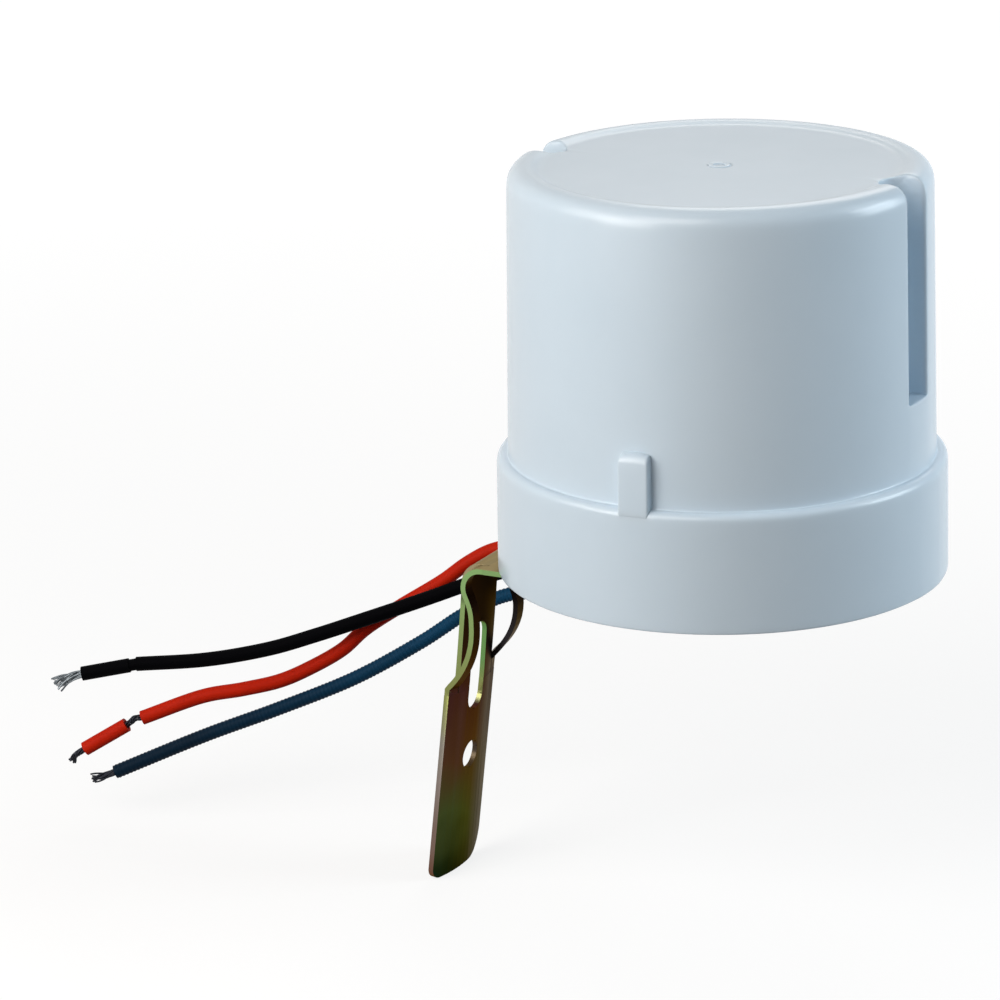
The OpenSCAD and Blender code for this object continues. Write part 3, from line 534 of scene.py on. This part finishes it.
# The blue one is darker towards its stripped end.
plain_blue = shader.inputs["Base Color"].links[0].from_socket
along = add(blue_pvc, "ShaderNodeSeparateXYZ", {}, {0: place.outputs["Object"]})
toward_end = add(blue_pvc, "ShaderNodeMapRange",
              {"From Min": -15 * MM, "From Max": -50 * MM, "To Max": 0.8},
              {"Value": along.outputs["X"]})
darkened_end = add(blue_pvc, "ShaderNodeMix", {"data_type": "RGBA", 7: linear("#030c16")},
             {0: toward_end.outputs["Result"], 6: plain_blue})
join(blue_pvc, darkened_end.outputs[2], shader.inputs["Base Color"])

# The routes, in millimetres from the cover's axis at its foot, from the bush to the stripped ends.
red_route = [(-14, 14.4, 0), (-14, 14.4, -1.5), (-14.2, 14.4, -3.4), (-15.2, 14.4, -5.6),
             (-17.4, 14.5, -7), (-21, 14.6, -7.4), (-28, 14.6, -7), (-35, 14.2, -6.5),
             (-40.6, 13.5, -6.6), (-45.7, 12.4, -7.7), (-49.7, 11.1, -10), (-53.8, 9.5, -13.3),
             (-59.9, 7, -17.4), (-65, 4.7, -21.1), (-68.6, 3, -24.7), (-73.1, 0.5, -27.6),
             (-77.2, -2.4, -29.5), (-82.2, -5.6, -30.6), (-88.3, -8.6, -31.8), (-96.8, -13, -35.2)]
black_route = [(-16.08, 10.8, 0), (-16.08, 10.8, -1.5), (-16.2, 10.8, -4.2), (-17.4, 10.8, -6.8),
               (-19.9, 10.9, -8.6), (-24.4, 11, -9.4), (-30.5, 11.1, -9.4), (-36.7, 10.9, -9.3),
               (-40.7, 10.5, -9.7), (-45.2, 9.7, -11.1), (-49.8, 8.4, -13.2), (-55.9, 6, -15.7),
               (-63.9, 2.2, -18.7), (-71, -1.2, -21.3), (-78.1, -4.5, -23.6), (-87.1, -8.7, -25.3),
               (-97.2, -13.3, -26)]
blue_route = [(-11.92, 10.8, 0), (-11.92, 10.8, -1.5), (-11.9, 10.8, -5.5), (-12.5, 10.8, -8.5),
              (-14.2, 10.8, -11), (-17.4, 10.9, -12.9), (-23.4, 11.1, -13.8), (-30.6, 11.2, -13.6),
              (-36.8, 10.9, -13.4), (-40.8, 10.6, -13.7), (-45.3, 9.8, -15.4), (-49.9, 8.4, -18.2),
              (-56, 5.7, -22.7), (-65.6, 1.3, -28.6), (-76.8, -3.8, -33.7), (-87.9, -9, -38.3),
              (-101, -15.1, -44.4)]


def lead(colour, route, material, step, rib_depth):
    """A lead with closed ends. Ribs, where there are any, make it thinner between their crests."""
    path = smooth([on_body(p) for p in route], step)
    radii = []
    length = 0.0
    for before, point in zip([path[0]] + path, path):
        length += (point - before).length
        wave = 0.5 - 0.5 * math.cos(2 * math.pi * length / PULLER_PITCH)
        radii.append(LEAD_D / 2 - rib_depth * wave)
    verts, faces = [], []
    sweep(verts, faces, path, radii, LEAD_SIDES)
    piece = drawn(colour + "_lead", verts, faces, material)
    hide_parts("lead_" + colour)
    return piece, path, length


black_lead = lead("black", black_route, black_pvc, PLAIN_STEP, 0.0)
red_lead = lead("red", red_route, red_pvc, PLAIN_STEP, 0.0)
blue_lead = lead("blue", blue_route, blue_pvc, PULLER_PITCH / RINGS_IN_RIB, PULLER_DEPTH)


# Bare ends. Each lead was cut round and its insulation pulled off or along, so that tinned copper
# strands show. A cut sleeve still sits on the black and on the red strands.
STRAND_D = 0.3 * MM
STRAND_SIDES = 8
STRAND_STEP = 0.25 * MM
CUT_SHORT = (0, 1, 1, 0, 1)     # steps by which each strand in turn was cut short
FAN_UP, FAN_OUT = 2.6, 3.7      # radians from strand to strand, so that each opens its own way


def strands(colour, points, material, count, spread, lay, fan, opens):
    """A twisted bundle along points: a core with strands round it, which fan out from the part of
    the way where the bundle opens."""
    path = smooth([on_body(p) for p in points], STRAND_STEP)
    verts, faces = [], []
    for k in range(count + 1):
        line = []
        for i, point in enumerate(path):
            upward, outward = across(path, i)
            turn = 2 * math.pi * (k / count + i * STRAND_STEP / lay)
            out = spread if k < count else 0.0
            open_out = fan * max(0.0, i / (len(path) - 1) - opens) / (1 - opens)
            line.append(point + upward * (out * math.cos(turn) + open_out * math.cos(FAN_UP * k))
                        + outward * (out * math.sin(turn) + open_out * math.sin(FAN_OUT * k)))
        keep = len(line) - CUT_SHORT[k % len(CUT_SHORT)]
        sweep(verts, faces, line[:keep], [STRAND_D / 2] * keep, STRAND_SIDES)
    piece = drawn(colour + "_bare_strands", verts, faces, material)
    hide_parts(colour + "_strands")
    return piece


# Tinned copper, drawn: silvery where it was just bared, dark where it has tarnished.
TARNISH = 0.8 * MM
bright_tin = clouded("copper_drawn_tinned", "#868d92", "#14181c", TARNISH, {"Metallic": 1.0},
                     (0.3, 0.5))[0]
dull_tin = clouded("copper_drawn_tarnished", "#34363d", "#0b0c11", TARNISH, {"Metallic": 1.0},
                   (0.35, 0.55))[0]
black_ends = [strands(
    "black", [(-97, -13.2, -26), (-98.2, -13.8, -26.2), (-105.2, -17, -27.6),
              (-107.6, -18.1, -28.6), (-109.1, -18.9, -29.6)],
    bright_tin, count=13, spread=0.5 * MM, lay=14 * MM, fan=0.8 * MM, opens=0.64)]
red_ends = [strands(
    "red", [(-96.6, -12.9, -35.1), (-97.9, -13.6, -35.3), (-99, -14.2, -36.3),
            (-105.3, -17.1, -40.4), (-106.7, -17.7, -41.5), (-107.4, -18, -42.7)],
    dull_tin, count=6, spread=0.38 * MM, lay=5 * MM, fan=0.3 * MM, opens=0.85)]
blue_ends = [strands(
    "blue", [(-100.6, -14.9, -44.2), (-102.8, -16, -45.1), (-104.5, -16.8, -45.6)],
    dull_tin, count=9, spread=0.42 * MM, lay=9 * MM, fan=0.5 * MM, opens=0.35)]
# The knife left a core of insulation between the black lead and its sleeve.
NICK_D = 1.9 * MM
nick_path = [on_body((-97, -13.2, -26)), on_body((-98.4, -13.9, -26.25))]
verts, faces = [], []
sweep(verts, faces, nick_path, [NICK_D / 2] * len(nick_path), LEAD_SIDES)
nick = drawn("black_nick", verts, faces, black_pvc)
black_ends += [nick, dress("black_sleeve", black_pvc, 0.15 * MM)]
red_ends.append(dress("red_sleeve", red_pvc, 0.15 * MM))


# Floor and light. A white table in a white room, with soft lamps close to the object: three from
# the left and the front, two cooler ones from the right and a weak one from behind.
floor_z = cad_box[0][2]
bpy.ops.mesh.primitive_plane_add(size=4, location=(axis_foot.x, axis_foot.y, floor_z))
floor = bpy.context.object
floor.name = "floor"
white_table, shader = start("white_table", {
    "Base Color": linear("#868686"), "Roughness": 0.9, "Specular IOR Level": 0.0,
    "Emission Color": (1, 1, 1, 1)})


def seen_rays(tree_owner):
    """A factor that is 1 where the camera or a reflection looks, and 0 for soft light."""
    rays = add(tree_owner, "ShaderNodeLightPath")
    mirror = add(tree_owner, "ShaderNodeMath", {"operation": "MAXIMUM"},
                 {0: rays.outputs["Is Camera Ray"], 1: rays.outputs["Is Glossy Ray"]})
    return add(tree_owner, "ShaderNodeMath", {"operation": "MAXIMUM"},
               {0: mirror.outputs[0], 1: rays.outputs["Is Transmission Ray"]}).outputs[0]


# The table looks whiter away from the object, where no lamp reaches it.
place = add(white_table, "ShaderNodeTexCoord")
distance = add(white_table, "ShaderNodeVectorMath", {"operation": "LENGTH"},
               {0: place.outputs["Object"]})
whiteness = add(white_table, "ShaderNodeMapRange",
                {"From Min": 0.1, "From Max": 0.6, "To Min": 0.78, "To Max": 0.99},
                {"Value": distance.outputs["Value"]})
glow = add(white_table, "ShaderNodeMath", {"operation": "MULTIPLY"},
           {0: seen_rays(white_table), 1: whiteness.outputs["Result"]})
join(white_table, glow.outputs[0], shader.inputs["Emission Strength"])
floor.data.materials.append(white_table)

# Square lamps that face the cover and stay out of the picture. Each has its place from the cover's
# foot and its size in metres, and its power in watts.
DAYLIGHT = (0.84, 0.94, 1.0)
LAMPLIGHT = (1.0, 0.955, 0.91)
AIM = Vector((0, 0, 0.03))
for name, place, size, power, colour in (
        ("low left lamp", (-0.16, -0.35, 0.13), 0.2, 0.63, LAMPLIGHT),
        ("left lamp", (-0.23, -0.23, 0.18), 0.22, 0.42, LAMPLIGHT),
        ("front lamp", (-0.02, -0.28, 0.26), 0.2, 0.43, LAMPLIGHT),
        ("low right lamp", (0.355, 0.17, 0.12), 0.2, 0.9, DAYLIGHT),
        ("right lamp", (0.31, 0.14, 0.24), 0.2, 0.3, DAYLIGHT),
        ("back lamp", (-0.1, 0.37, 0.35), 0.25, 0.4, LAMPLIGHT)):
    lamp = bpy.data.lights.new(name, "AREA")
    lamp.size = size
    lamp.energy = power
    lamp.color = colour
    holder = bpy.data.objects.new(name, lamp)
    holder.location = axis_foot + Vector(place)
    towards = axis_foot + AIM - holder.location
    holder.rotation_euler = towards.to_track_quat("-Z", "Y").to_euler()
    holder.visible_camera = False
    bpy.context.scene.collection.objects.link(holder)

world = bpy.data.worlds.new("studio")
bpy.context.scene.world = world
world.use_nodes = True
room = world.node_tree.nodes["Background"]
room.inputs["Color"].default_value = (1, 1, 1, 1)
strength = add(world, "ShaderNodeMapRange", {"To Min": 0.09, "To Max": 1.0},
               {"Value": seen_rays(world)})
join(world, strength.outputs["Result"], room.inputs["Strength"])
bpy.context.scene.view_settings.view_transform = "Standard"


# Camera. A long lens from the right, a little above the cover and held slightly askew. Its place is
# in millimetres from the cover's axis at its foot.
PAN, TILT, ROLL = (math.radians(angle) for angle in (27.914, 72.677, -1.279))
camera = bpy.data.cameras.new("camera")
camera.lens = 164.6
camera.sensor_width = 36
viewer = bpy.data.objects.new("camera", camera)
viewer.location = on_body((277.87, -595.9, 215.43))
turned = (Matrix.Rotation(PAN, 3, "Z") @ Matrix.Rotation(TILT, 3, "X")
          @ Matrix.Rotation(ROLL, 3, "Z"))
viewer.rotation_euler = turned.to_euler()
bpy.context.scene.collection.objects.link(viewer)
bpy.context.scene.camera = viewer
